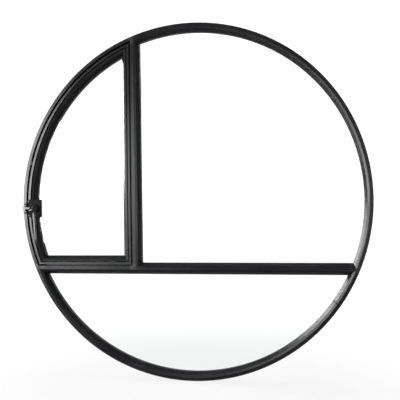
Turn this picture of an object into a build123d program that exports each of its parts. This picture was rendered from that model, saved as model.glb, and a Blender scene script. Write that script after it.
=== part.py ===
from build123d import *
import math
import os
from collections import namedtuple

# A round steel window, seen from the room: an outer ring with a transom across it and a
# mullion from the transom up to the ring. Two lights are fixed. The upper left light is a
# side-hung casement that opens outwards on two hinges on the outside of the mullion, and is
# held shut by a lever handle whose nose turns over a keeper on the ring.
#
# Millimetres. The window stands in the XZ plane, +Z up, and the room is on the -Y side.
# The origin is the ring's centre, in the plane of its room-side face.

# Ring, transom and mullion: rolled bars with a toe on the room side
ring_radius = 500.0
toe_width = 10.0
toe_thickness = 3.5
ring_web = 4.5
bar_web = 5.0
upstand_thickness = 4.0
transom_z = -189.0
mullion_x = -162.0
outer_round = 1.5
edge_round = 0.8
edge_bevel = 0.6

# Glass and what holds it, from the room side to the outside
glass_setback = 18.0
glass_thickness = 6.0
gasket_thickness = 2.0
tape_thickness = 2.0
glass_edge_gap = 3.0
seal_setback = 0.8
gasket_width = 7.5
tape_width = 8.0
block_length = 50.0
block_places = (0.25, 0.75)
lower_block_angles = (-110.0, -70.0)

# Glazing beads: a nearly flat land, then a steep slope down to the glass
bead_width = 13.5
bead_slope_width = 7.5
bead_face = 0.8
bead_land_drop = 1.5
bead_foot = 1.2
bead_side_gap = 0.2
bead_joint_angle = -35.0
bead_joint_gap = 0.4

# Casement: a flange on the room side, a web, a glazing leg and a weather leg
casement_gap = 4.5
casement_setback = 1.5
flange_width = 7.0
flange_thickness = 3.0
casement_web = 4.0
casement_groove = 2.5
casement_bead_width = 15.0
casement_bead_slope = 8.0
casement_bead_drop = 0.5
leg_gap = 0.4
leg_thickness = 3.6
leg_reach_arc = 12.0
leg_reach_rail = 9.0
leg_reach_stile = 6.3

# Hinges on the outside of the mullion
hinge_axis_offset = 7.0
hinge_axis_standoff = 5.0
hinge_heights = (330.0, -85.0)
hinge_length = 60.0
knuckle_radius = 4.5
knuckle_gap = 0.5
pin_radius = 2.5
pin_clearance = 0.05
pin_head_radius = 4.0
pin_head_height = 2.0
pin_tail_taper = 0.8
hinge_plate = 2.5
hinge_plate_width = 20.0
hinge_screw_spacing = 38.0

# Screws
screw_radius = 1.6
screw_head_radius = 3.2
screw_head_height = 1.7
screw_clearance = 0.1

# Handle and keeper
handle_drop = 13.5
handle_offset = 41.0
plate_width = 43.5
plate_height = 52.0
plate_thickness = 4.0
plate_round = 3.0
plate_edge_margin = 0.4
plate_screw_inset = 3.6
plate_screw_spacing = 41.0
rose_radius = 11.0
rose_height = 6.5
rose_round = 1.6
hub_radius = 8.5
hub_height = 8.0
turn_gap = 0.2
spindle_radius = 5.0
washer_radius = 6.5
washer_thickness = 1.5
nut_across_flats = 11.0
nut_height = 3.0
lever_length = 105.0
lever_root_width = 12.6
lever_waist_width = 6.0
lever_waist_place = 0.25
lever_end_width = 7.6
lever_thickness = 6.0
lever_stand_off = 8.0
lever_neck_place = 17.5
lever_swell_place = 0.35
lever_lean = 4.5
nose_turn = 22.0
nose_reach = 24.0
nose_width = 6.5
nose_thickness = 5.6
keeper_height = 15.0
keeper_flange_height = 33.0
keeper_flange_thickness = 2.0
keeper_thickness = 6.0
keeper_edge = 1.5
tongue_height = 6.5
tongue_thickness = 2.5
tongue_overlap = 7.0
tongue_lead_in = 1.5
keeper_screw_spacing = 25.0

# Bead clips, closing pad and wall fixings
clip_length = 14.0
clip_height = 5.0
clip_start = 7.0
clip_pitch = 160.0
clip_end_angle = 4.0
clip_end_margin = 30.0
pad_angle = 165.9
pad_length = 12.0
pad_depth = 3.0
pad_gap = 0.9
fixing_radius = 3.25
fixing_angles = (30.0, 90.0, 150.0, 210.0, 270.0, 330.0)

# Depths worked out from the sizes above
bead_back = glass_setback - gasket_thickness
glass_back = glass_setback + glass_thickness
upstand_front = glass_back + tape_thickness
frame_depth = upstand_front + upstand_thickness
leg_front = frame_depth + leg_gap
casement_depth = leg_front + leg_thickness

# Radii and lines worked out from the sizes above
toe_radius = ring_radius - toe_width
web_radius = ring_radius - ring_web
transom_top = transom_z + bar_web / 2
transom_bottom = transom_z - bar_web / 2
transom_toe_top = transom_bottom + toe_width
mullion_left = mullion_x - toe_width / 2
mullion_right = mullion_x + toe_width / 2
mullion_web_left = mullion_x - bar_web / 2
mullion_web_right = mullion_x + bar_web / 2
casement_radius = toe_radius - casement_gap
casement_right = mullion_left - casement_gap
casement_bottom = transom_toe_top + casement_gap
casement_face_width = flange_width + casement_groove + casement_bead_width
web_offset = flange_width - casement_web
hinge_x = mullion_left + hinge_axis_offset
hinge_y = frame_depth + hinge_axis_standoff
handle_x = -(ring_radius - handle_offset)
handle_z = -handle_drop
nose_arm = nose_reach - nose_width / 2
nose_tip_x = handle_x - nose_arm * math.cos(math.radians(nose_turn))
nose_tip_z = handle_z - nose_arm * math.sin(math.radians(nose_turn))
ring_joint_angle = math.degrees(math.atan2(nose_tip_z, nose_tip_x))
far = ring_radius * 1.2

# A light is the clear opening between its beads: an arc about the origin, cut by straight edges
Light = namedtuple("Light", "radius left right bottom top")
sight_radius = toe_radius - bead_width
upper_left = mullion_right + bead_width
upper_bottom = transom_top + bead_width
upper_light = Light(sight_radius, upper_left, far, upper_bottom, far)
lower_light = Light(sight_radius, -far, far, -far, transom_bottom - bead_width)
casement_light = Light(
    casement_radius - casement_face_width,
    -far,
    casement_right - casement_face_width,
    casement_bottom + casement_face_width,
    far,
)


def slab(x0, x1, y0, y1, z0, z1):
    """A box between two corners."""
    centre = Pos((x0 + x1) / 2, (y0 + y1) / 2, (z0 + z1) / 2)
    return centre * Box(x1 - x0, y1 - y0, z1 - z0)


def disc(radius, y0, y1):
    """A cylinder about the window's axis."""
    return Pos(0, (y0 + y1) / 2, 0) * Rot(90, 0, 0) * Cylinder(radius, y1 - y0)


def stud(x, z, radius, y0, y1):
    """A cylinder along Y at a point of the window plane."""
    return Pos(x, (y0 + y1) / 2, z) * Rot(90, 0, 0) * Cylinder(radius, y1 - y0)


def group(shapes):
    """All the solids of several shapes, as one compound."""
    solids = [solid for shape in shapes for solid in shape.solids()]
    return Compound(solids)


def main_solid(shape):
    """The largest solid of a shape, without slivers left by a cut beside a rounded edge."""
    return shape.solids().sort_by(SortBy.VOLUME)[-1]


def light_block(light, grow, y0, y1):
    """The solid that fills a light, with its outline grown outwards."""
    low = light.bottom - grow
    high = light.top + grow
    outline = slab(light.left - grow, light.right + grow, y0, y1, low, high)
    return disc(light.radius + grow, y0, y1) & outline


def light_frame(light, inner, outer, y0, y1):
    """A flat frame that follows a light's outline."""
    return light_block(light, outer, y0, y1) - light_block(light, inner, y0, y1)


def section(points, rounds):
    """A closed bar section. Each round is (point index, radius)."""
    face = make_face(Polyline(*points, close=True))
    for index, radius in rounds:
        corner = Vector(*points[index])
        vertex = min(face.vertices(), key=lambda v: (Vector(*v) - corner).length)
        face = fillet(vertex, radius)
    return face


def turned(points, rounds=()):
    """A ring of the section, given as (radius, y) points."""
    return revolve(section(points, rounds), Axis.Y)


def upright(points, z0, z1, rounds=()):
    """A vertical bar of the section, given as (x, y) points."""
    return Pos(0, 0, z0) * extrude(section(points, rounds), z1 - z0)


def level(points, x0, x1, rounds=()):
    """A horizontal bar of the section, given as (z, y) points."""
    bar = extrude(section(points, rounds), x1 - x0)
    return Pos(x1, 0, 0) * Rot(0, -90, 0) * bar


def outer_ring():
    """The ring in two rolled halves, with the upstand welded in round the two fixed lights.

    The halves meet beside the nose's tip and opposite it.
    """
    points = [
        (ring_radius, 0),
        (toe_radius, 0),
        (toe_radius, toe_thickness),
        (web_radius, toe_thickness),
        (web_radius, frame_depth),
        (ring_radius, frame_depth),
    ]
    ring = turned(points, [(0, outer_round), (1, edge_round)])
    upstand = disc(web_radius, upstand_front, frame_depth)
    upstand -= disc(sight_radius, upstand_front, frame_depth)
    upstand -= casement_opening()
    ring += upstand
    for angle in fixing_angles:
        ring -= fixing_hole(angle)
    for z in keeper_screw_heights():
        ring -= stud(keeper_screw_x(), z, screw_radius + screw_clearance, 0, toe_thickness)
    joint = Rot(0, -ring_joint_angle, 0)
    halves = [
        ring & (joint * slab(-far, far, 0, frame_depth, -far, 0)),
        ring & (joint * slab(-far, far, 0, frame_depth, 0, far)),
    ]
    return group(halves)


def casement_opening():
    """The corner of the frame that has no upstand, where the casement closes."""
    return slab(-far, mullion_left, upstand_front, frame_depth, transom_toe_top, far)


def inside_ring():
    """The room between the ring's toe, web and upstand, for the ends of the bars."""
    room = disc(toe_radius, 0, toe_thickness)
    room += disc(web_radius, toe_thickness, upstand_front)
    return room + disc(sight_radius, upstand_front, frame_depth)


def fixing_hole(angle):
    """A radial hole through the ring's web, half way back."""
    depth = (toe_thickness + upstand_front) / 2
    hole = Cylinder(fixing_radius, toe_width, rotation=(0, 90, 0))
    return Pos(0, depth, 0) * Rot(0, -angle, 0) * Pos(ring_radius - ring_web / 2, 0, 0) * hole


def casement_transom_section():
    """The transom's bar section beside the casement, as (z, y) points."""
    return [
        (transom_bottom, 0),
        (transom_toe_top, 0),
        (transom_toe_top, toe_thickness),
        (transom_top, toe_thickness),
        (transom_top, upstand_front),
        (transom_toe_top, upstand_front),
        (transom_toe_top, frame_depth),
        (transom_bottom - bead_width, frame_depth),
        (transom_bottom - bead_width, upstand_front),
        (transom_bottom, upstand_front),
    ]


def fixed_transom_section():
    """The same bar beside the upper fixed light, where its toe is as narrow as its web."""
    return [
        (transom_bottom, 0),
        (transom_top, 0),
        (transom_top, upstand_front),
        (transom_top + bead_width, upstand_front),
        (transom_top + bead_width, frame_depth),
        (transom_bottom - bead_width, frame_depth),
        (transom_bottom - bead_width, upstand_front),
        (transom_bottom, upstand_front),
    ]


def transom():
    """The bar across the window."""
    casement_side = level(casement_transom_section(), -far, mullion_right)
    fixed_side = level(fixed_transom_section(), mullion_right, far)
    return (casement_side + fixed_side) & inside_ring()


def mullion(cross_bar):
    """The upright bar from the transom to the ring."""
    points = [
        (mullion_left, 0),
        (mullion_right, 0),
        (mullion_right, toe_thickness),
        (mullion_web_right, toe_thickness),
        (mullion_web_right, upstand_front),
        (mullion_right + bead_width, upstand_front),
        (mullion_right + bead_width, frame_depth),
        (mullion_left, frame_depth),
        (mullion_left, upstand_front),
        (mullion_web_left, upstand_front),
        (mullion_web_left, toe_thickness),
        (mullion_left, toe_thickness),
    ]
    bar = (upright(points, transom_top, far) & inside_ring()) - cross_bar
    for height in hinge_heights:
        for x, z in frame_screw_points(height):
            bar -= stud(x, z, screw_radius + screw_clearance, upstand_front, frame_depth)
    return bar


def bead_points(face, width, slope_width, land_drop, edge, inward):
    """A bead's section, from its outer edge towards the light, as (place, y) points."""
    steps = [
        (bead_side_gap, face),
        (width - slope_width, face + land_drop),
        (width, bead_back - bead_foot),
        (width, bead_back),
        (bead_side_gap, bead_back),
    ]
    return [(edge + inward * step, y) for step, y in steps]


def bead_set(light, width, slope_width, face, sides):
    """A light's beads: straight ones first, then the arc scribed to them."""
    field = light_block(light, width - bead_side_gap, face, bead_back)
    rounds = [(1, edge_round)]
    beads = {}
    for side in sides:
        edge = {"right": light.right + width, "left": light.left - width,
                "bottom": light.bottom - width, "top": light.top + width}[side]
        inward = 1 if side in ("left", "bottom") else -1
        points = bead_points(face, width, slope_width, bead_land_drop, edge, inward)
        make = upright if side in ("left", "right") else level
        bead = make(points, -far, far, rounds) & field
        for other in beads.values():
            bead = bead - other
        beads[side] = bead
    points = bead_points(face, width, slope_width, bead_land_drop, light.radius + width, -1)
    arc = turned(points, rounds) & field
    for other in beads.values():
        arc = arc - other
    beads["arc"] = arc
    return beads


def split_arc(arc, angle):
    """An arc bead cut in two at a radial joint."""
    cut = Rot(0, -angle, 0) * slab(0, far, -far, far, -bead_joint_gap / 2, bead_joint_gap / 2)
    pieces = (arc - cut).solids().sort_by(SortBy.VOLUME)
    return pieces[-1], pieces[0]


def pane(light, cover):
    """A glass pane that reaches into the rebate by the cover."""
    return light_block(light, cover, glass_setback, glass_back)


def gasket(light):
    """The room-side gasket between a pane and its beads."""
    return light_frame(light, seal_setback, seal_setback + gasket_width, bead_back, glass_setback)


def tape(light):
    """The glazing tape behind a pane."""
    return light_frame(light, seal_setback, seal_setback + tape_width, glass_back, upstand_front)


def level_blocks(light, cover):
    """Setting blocks on a level bar, at the quarter points of a pane's bottom edge."""
    half = block_length / 2
    top = light.bottom - cover
    bottom = top - glass_edge_gap
    reach = math.sqrt((light.radius + cover) ** 2 - top**2)
    left = max(light.left - cover, -reach)
    right = min(light.right + cover, reach)
    places = [left + (right - left) * share for share in block_places]
    return group([slab(x - half, x + half, glass_setback, glass_back, bottom, top) for x in places])


def ring_blocks(angles):
    """Setting blocks between the ring's web and the lower pane's curved edge."""
    pane_radius = sight_radius + bead_width - glass_edge_gap
    band = disc(web_radius, glass_setback, glass_back) - disc(pane_radius, glass_setback, glass_back)
    sector = slab(web_radius - block_length, far, 0, frame_depth, -block_length / 2, block_length / 2)
    return group([band & (Rot(0, -angle, 0) * sector) for angle in angles])


def casement_points(edge, inward, reach, bevelled=False):
    """The casement bar's section as (place, y) points, from its outer edge inwards."""
    front = [(0, casement_setback), (flange_width, casement_setback)]
    if bevelled:
        front = [
            (0, casement_setback + edge_bevel),
            (edge_bevel, casement_setback),
            (flange_width - edge_bevel, casement_setback),
            (flange_width, casement_setback + edge_bevel),
        ]
    steps = front + [
        (flange_width, upstand_front),
        (casement_face_width, upstand_front),
        (casement_face_width, frame_depth),
        (flange_width, frame_depth),
        (flange_width, casement_depth),
        (-reach, casement_depth),
        (-reach, leg_front),
        (web_offset, leg_front),
        (web_offset, casement_setback + flange_thickness),
        (0, casement_setback + flange_thickness),
    ]
    return [(edge + inward * step, y) for step, y in steps]


def casement_layers():
    """Each depth of the casement, and how far its arc, stile and rail sides lie inside the flange."""
    flange_back = casement_setback + flange_thickness
    return [
        (casement_setback, flange_back, 0, 0, 0),
        (flange_back, leg_front, web_offset, web_offset, web_offset),
        (leg_front, casement_depth, -leg_reach_arc, -leg_reach_stile, -leg_reach_rail),
    ]


def casement_straight_sides():
    """The casement's outline at each depth, cut by its stile and rail sides only."""
    front, middle, leg = [
        slab(-far, casement_right - stile, y0, y1, casement_bottom + rail, far)
        for y0, y1, arc, stile, rail in casement_layers()
    ]
    return front + middle + leg


def casement_curved_side():
    """The casement's outline at each depth, cut by its arc side only."""
    front, middle, leg = [
        disc(casement_radius - arc, y0, y1) for y0, y1, arc, stile, rail in casement_layers()
    ]
    return front + middle + leg


def casement_bars():
    """The casement's three bars. The rail is cut to the stile, and the arc to both."""
    straight = casement_straight_sides()
    skin = straight & casement_curved_side()
    stile_place = (casement_right, -1, leg_reach_stile)
    rail_place = (casement_bottom, 1, leg_reach_rail)
    arc_place = (casement_radius, -1, leg_reach_arc)
    stile_room = upright(casement_points(*stile_place), -far, far)
    rail_room = level(casement_points(*rail_place), -far, far)
    stile = upright(casement_points(*stile_place, bevelled=True), -far, far) & skin
    rail = level(casement_points(*rail_place, bevelled=True), -far, far) & skin
    rail = main_solid(rail - stile_room)
    arc = turned(casement_points(*arc_place, bevelled=True)) & straight
    arc = main_solid(arc - stile_room - rail_room)
    for height in hinge_heights:
        for x, z in casement_screw_points(height):
            stile -= stud(x, z, screw_radius + screw_clearance, leg_front, casement_depth)
    for x, z in plate_screw_points():
        hole_back = casement_setback + flange_thickness
        arc -= stud(x, z, screw_radius + screw_clearance, casement_setback, hole_back)
    return stile, rail, arc


def frame_screw_points(height):
    """Screw places of a hinge's frame leaf."""
    x = (hinge_x + knuckle_radius + mullion_right + bead_width) / 2
    half = hinge_screw_spacing / 2
    return [(x, height - half), (x, height + half)]


def casement_screw_points(height):
    """Screw places of a hinge's casement leaf, in the weather leg over the web."""
    x = casement_right + leg_reach_stile - hinge_plate_width / 2
    half = hinge_screw_spacing / 2
    return [(x, height - half), (x, height + half)]


def knuckle(z0, z1, bore):
    """A hinge knuckle between two heights."""
    barrel = Cylinder(knuckle_radius, z1 - z0) - Cylinder(bore, z1 - z0)
    return Pos(hinge_x, hinge_y, (z0 + z1) / 2) * barrel


def leaf_holes(points, y0, y1):
    """Screw clearance holes through a leaf."""
    return [stud(x, z, screw_radius + screw_clearance, y0, y1) for x, z in points]


def pin_bore():
    """Clear space round the hinge pin."""
    return pin_radius + pin_clearance


def frame_leaf(height):
    """The leaf on the mullion, with the two end knuckles."""
    low = height - hinge_length / 2
    high = height + hinge_length / 2
    third = hinge_length / 3
    right = mullion_right + bead_width
    plate_left = hinge_x + knuckle_radius + knuckle_gap
    back = frame_depth + hinge_plate
    leaf = slab(plate_left, right, frame_depth, back, low, high)
    for z0, z1 in ((low, low + third), (high - third, high)):
        strap = slab(hinge_x, plate_left, frame_depth + knuckle_gap, back, z0, z1)
        strap -= Pos(hinge_x, hinge_y, (z0 + z1) / 2) * Cylinder(pin_radius, z1 - z0)
        leaf = leaf + strap + knuckle(z0, z1, pin_radius)
    for hole in leaf_holes(frame_screw_points(height), frame_depth, back):
        leaf -= hole
    return leaf


def casement_leaf(height):
    """The leaf on the casement's weather leg, with the middle knuckle."""
    low = height - hinge_length / 2
    high = height + hinge_length / 2
    third = hinge_length / 3
    right = casement_right + leg_reach_stile
    back = casement_depth + hinge_plate
    leaf = slab(right - hinge_plate_width, right, casement_depth, back, low, high)
    z0 = low + third + knuckle_gap
    z1 = high - third - knuckle_gap
    strap = slab(right, hinge_x, casement_depth, back, z0, z1)
    strap -= Pos(hinge_x, hinge_y, (z0 + z1) / 2) * Cylinder(pin_bore(), z1 - z0)
    leaf = leaf + strap + knuckle(z0, z1, pin_bore())
    for hole in leaf_holes(casement_screw_points(height), casement_depth, back):
        leaf -= hole
    return leaf


def hinge_pin(height):
    """The pin, with a head at its top."""
    low = height - hinge_length / 2
    high = height + hinge_length / 2
    shank = Pos(hinge_x, hinge_y, height) * Cylinder(pin_radius, hinge_length)
    head = Cylinder(pin_head_radius, pin_head_height)
    head = Pos(hinge_x, hinge_y, high + pin_head_height / 2) * head
    head = fillet(head.edges().group_by(Axis.Z)[-1], edge_round)
    tail = Cone(pin_radius - pin_tail_taper, pin_radius, pin_head_height)
    tail = Pos(hinge_x, hinge_y, low - pin_head_height / 2) * tail
    return shank + head + tail


def screw(x, z, seat, length, direction):
    """A pan-head screw along Y. Its head stands on the seat, away from the direction."""
    shank_end = seat + direction * length
    shank = stud(x, z, screw_radius, min(seat, shank_end), max(seat, shank_end))
    head_end = seat - direction * screw_head_height
    head = stud(x, z, screw_head_radius, min(seat, head_end), max(seat, head_end))
    outer = head.edges().filter_by(GeomType.CIRCLE).sort_by(Axis.Y)
    rim = outer[0] if direction > 0 else outer[-1]
    return fillet(rim, edge_round) + shank


def hinge_screws():
    """The screws of the frame leaves and of the casement leaves."""
    frame_seat = frame_depth + hinge_plate
    casement_seat = casement_depth + hinge_plate
    frame_grip = hinge_plate + upstand_thickness
    casement_grip = hinge_plate + leg_thickness
    frame_set = []
    casement_set = []
    for height in hinge_heights:
        for x, z in frame_screw_points(height):
            frame_set.append(screw(x, z, frame_seat, frame_grip, -1))
        for x, z in casement_screw_points(height):
            casement_set.append(screw(x, z, casement_seat, casement_grip, -1))
    return group(frame_set), group(casement_set)


def plate_screw_points():
    """Screw places of the handle plate, in the middle of the casement's flange."""
    radius = casement_radius - plate_screw_inset
    heights = (handle_z - plate_screw_spacing / 2, handle_z + plate_screw_spacing / 2)
    return [(-math.sqrt(radius**2 - z**2), z) for z in heights]


def handle_plate():
    """The plate that carries the handle, with its outer edge cut to the casement's curve."""
    face_y = casement_setback - plate_thickness
    left = -casement_radius - plate_round
    right = -casement_radius + plate_width
    low = handle_z - plate_height / 2
    high = handle_z + plate_height / 2
    plate = slab(left, right, face_y, casement_setback, low, high)
    corners = plate.edges().filter_by(Axis.Y).sort_by(Axis.X)[-2:]
    plate = fillet(corners, plate_round)
    plate = plate & disc(casement_radius - plate_edge_margin, face_y, casement_setback)
    rim = plate.faces().sort_by(Axis.Y)[0].edges()
    plate = chamfer(rim, edge_round)
    plate -= stud(handle_x, handle_z, spindle_radius + pin_clearance, face_y, casement_setback)
    for x, z in plate_screw_points():
        plate -= stud(x, z, screw_radius + screw_clearance, face_y, casement_setback)
    return plate


def rose_face():
    """The room-side face of the rose."""
    return casement_setback - plate_thickness - rose_height


def handle_rose():
    """The round rose between the plate and the lever."""
    base = casement_setback - plate_thickness
    rose = stud(handle_x, handle_z, rose_radius, rose_face(), base)
    rim = rose.edges().filter_by(GeomType.CIRCLE).sort_by(Axis.Y)[0]
    rose = fillet(rim, rose_round)
    return rose - stud(handle_x, handle_z, spindle_radius + pin_clearance, rose_face(), base)


def lever_side_profile():
    """The lever's shape seen from the side, as (distance below the pivot, y) points."""
    hub_back = rose_face() - turn_gap
    hub_front = hub_back - hub_height
    blade_front = hub_front - lever_stand_off
    blade_back = blade_front + lever_thickness
    end_rise = lever_thickness / 4
    end_place = lever_length - lever_thickness / 2
    swell_place = lever_length * lever_swell_place
    end_back = (end_place, blade_back + end_rise)
    end_front = (end_place, blade_front + end_rise)
    tip_point = (lever_length, (end_front[1] + end_back[1]) / 2)
    front = Spline(
        (-hub_radius, hub_front),
        (0, hub_front),
        (lever_neck_place, blade_front + end_rise),
        (swell_place, blade_front),
        end_front,
    )
    tip = ThreePointArc(end_front, tip_point, end_back)
    back = Spline(
        end_back,
        (swell_place, blade_back),
        (lever_neck_place, hub_front + lever_thickness / 2),
        (hub_radius, hub_back),
    )
    foot = Line((hub_radius, hub_back), (-hub_radius, hub_back))
    side = Line((-hub_radius, hub_back), (-hub_radius, hub_front))
    return make_face([front, tip, back, foot, side])


def lever_front_profile():
    """The lever's shape seen from the room, pivot at the origin, hanging down."""
    root = lever_root_width / 2
    waist = lever_waist_width / 2
    end = lever_end_width / 2
    waist_place = -lever_length * lever_waist_place
    end_place = end - lever_length
    outline = Polyline(
        (-root, 0),
        (-waist, waist_place),
        (-end, end_place),
        (end, end_place),
        (waist, waist_place),
        (root, 0),
        close=True,
    )
    return make_face(outline) + Circle(hub_radius) + Pos(0, end_place) * Circle(end)


def handle_lever():
    """The lever, its hub and the nose that turns over the keeper."""
    hub_back = rose_face() - turn_gap
    hub_front = hub_back - hub_height
    side = Rot(0, 90, 0) * extrude(lever_side_profile(), hub_radius * 2)
    side = Pos(-hub_radius, 0, 0) * side
    front = Rot(90, 0, 0) * extrude(lever_front_profile(), far)
    lever = side & front
    lever += stud(0, 0, hub_radius, hub_front, hub_back)
    lever = Rot(0, -lever_lean, 0) * lever
    lever += nose(hub_back)
    lever -= stud(0, 0, spindle_radius, hub_back - hub_height / 2, hub_back)
    return Pos(handle_x, 0, handle_z) * lever


def nose(hub_back):
    """The nose, short of the keeper's tongue until the lever is turned against it."""
    tongue_face = -keeper_thickness
    back = tongue_face - (turn_gap + edge_round)
    front = back - nose_thickness
    bar = slab(-nose_arm, 0, front, back, -nose_width / 2, nose_width / 2)
    bar += stud(-nose_arm, 0, nose_width / 2, front, back)
    bar -= stud(0, 0, rose_radius + turn_gap, rose_face() - turn_gap, 0)
    return Rot(0, -nose_turn, 0) * bar


def spindle():
    """The spindle through the plate, from inside the hub to behind the nut."""
    start = rose_face() - turn_gap - hub_height / 2
    end = casement_setback + turn_gap + washer_thickness + nut_height
    return stud(handle_x, handle_z, spindle_radius, start, end)


def spindle_nut():
    """The washer and nut behind the plate."""
    seat = casement_setback + turn_gap
    washer = stud(handle_x, handle_z, washer_radius, seat, seat + washer_thickness)
    nut = extrude(RegularPolygon(nut_across_flats / 2, 6, major_radius=False), nut_height)
    nut = Pos(handle_x, seat + washer_thickness + nut_height, handle_z) * Rot(90, 0, 0) * nut
    whole = washer + nut
    return whole - stud(handle_x, handle_z, spindle_radius, seat, seat + washer_thickness + nut_height)


def keeper_screw_x():
    """Half way across the ring's toe."""
    return -(ring_radius - toe_width / 2)


def keeper_screw_heights():
    return [handle_z - keeper_screw_spacing / 2, handle_z + keeper_screw_spacing / 2]


def keeper():
    """The keeper on the ring, with the tongue that the nose turns over."""
    left = -ring_radius + keeper_edge
    right = -toe_radius - edge_round
    half_flange = keeper_flange_height / 2
    half = keeper_height / 2
    half_tongue = tongue_height / 2
    flange_front = -keeper_flange_thickness
    flange = slab(left, right, flange_front, 0, handle_z - half_flange, handle_z + half_flange)
    block = slab(left, right, -keeper_thickness, 0, handle_z - half, handle_z + half)
    tip = -casement_radius + tongue_overlap
    tongue_back = -keeper_thickness + tongue_thickness
    low = handle_z - half_tongue
    tongue = slab(left, tip, -keeper_thickness, tongue_back, low, low + tongue_height)
    lead_in = tongue.edges().filter_by(Axis.X).group_by(Axis.Z)[0].sort_by(Axis.Y)[0]
    tongue = chamfer(lead_in, tongue_lead_in)
    block = chamfer(block.faces().sort_by(Axis.Y)[0].edges(), edge_round)
    flange = fillet(flange.edges().filter_by(Axis.Y), edge_round)
    body = flange + block + tongue
    for z in keeper_screw_heights():
        body -= stud(keeper_screw_x(), z, screw_radius + screw_clearance, flange_front, 0)
    return body


def small_screws():
    """The keeper's screws and the handle plate's screws."""
    keeper_grip = keeper_flange_thickness + toe_thickness
    plate_grip = plate_thickness + flange_thickness
    plate_seat = casement_setback - plate_thickness
    x = keeper_screw_x()
    keeper_set = [
        screw(x, z, -keeper_flange_thickness, keeper_grip, 1) for z in keeper_screw_heights()
    ]
    plate_set = [screw(x, z, plate_seat, plate_grip, 1) for x, z in plate_screw_points()]
    return group(keeper_set), group(plate_set)


def clip_places(first, last, length):
    """The middles of evenly spread clips, about one to each clip pitch of the length."""
    count = max(2, int(length / clip_pitch))
    step = (last - first) / count
    return [first + step * (index + 0.5) for index in range(count)]


def arc_clips(inner, outer, first, last):
    """Bead clips on a curved bar, between two angles."""
    clip_back = clip_start + clip_height
    half = clip_length / 2
    ring = disc(outer, clip_start, clip_back) - disc(inner, clip_start, clip_back)
    sector = slab(inner - clip_length, outer + clip_length, 0, frame_depth, -half, half)
    angles = clip_places(first, last, math.radians(last - first) * inner)
    return [ring & (Rot(0, -angle, 0) * sector) for angle in angles]


def upright_clips(x0, x1, low, high):
    """Bead clips on an upright bar."""
    clip_back = clip_start + clip_height
    half = clip_length / 2
    places = clip_places(low, high, high - low)
    return [slab(x0, x1, clip_start, clip_back, z - half, z + half) for z in places]


def level_clips(z0, z1, left, right):
    """Bead clips on a level bar."""
    clip_back = clip_start + clip_height
    half = clip_length / 2
    places = clip_places(left, right, right - left)
    return [slab(x - half, x + half, clip_start, clip_back, z0, z1) for x in places]


def crossing_angle(radius, z=None, x=None, side=1):
    """The angle at which a circle meets a level line or an upright line."""
    if z is not None:
        angle = math.degrees(math.asin(z / radius))
        return angle if side > 0 else 180 - angle
    return math.degrees(math.acos(x / radius))


def frame_clips():
    """Clips of the fixed lights' beads."""
    bead_edge = toe_radius - bead_side_gap
    right_end = crossing_angle(toe_radius, z=transom_z)
    left_end = crossing_angle(toe_radius, z=transom_z, side=-1)
    mullion_end = crossing_angle(toe_radius, x=mullion_x)
    first = right_end + clip_end_angle
    last = mullion_end - clip_end_angle
    clips = arc_clips(bead_edge, web_radius, first, last)
    first = left_end + clip_end_angle - 360
    last = right_end - clip_end_angle
    clips += arc_clips(bead_edge, web_radius, first, last)
    top = math.sqrt(toe_radius**2 - mullion_x**2)
    right = mullion_right + bead_side_gap
    clips += upright_clips(mullion_web_right, right, upper_bottom, top - bead_width)
    return group(clips)


def casement_clips():
    """Clips of the casement's beads, in the groove behind the flange."""
    web_inner = casement_radius - flange_width
    bead_edge = web_inner - casement_groove - bead_side_gap
    first = crossing_angle(web_inner, x=casement_right - flange_width)
    last = crossing_angle(web_inner, z=casement_bottom + flange_width, side=-1)
    clips = arc_clips(bead_edge, web_inner, first + clip_end_angle, last - clip_end_angle)
    stile_web = casement_right - flange_width
    rail_web = casement_bottom + flange_width
    groove = casement_groove + bead_side_gap
    top = math.sqrt(web_inner**2 - stile_web**2)
    left = -math.sqrt(web_inner**2 - rail_web**2)
    low = rail_web + clip_end_margin
    clips += upright_clips(stile_web - groove, stile_web, low, top - clip_end_margin)
    left += clip_end_margin
    clips += level_clips(rail_web, rail_web + groove, left, stile_web - clip_end_margin)
    return group(clips)


def closing_pad():
    """The small pad in the gap between the ring's toe and the casement."""
    inner = casement_radius + pad_gap
    band = disc(toe_radius, 0, pad_depth) - disc(inner, 0, pad_depth)
    sector = slab(inner - pad_length, far, 0, pad_depth, -pad_length / 2, pad_length / 2)
    return band & (Rot(0, -pad_angle, 0) * sector)


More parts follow.
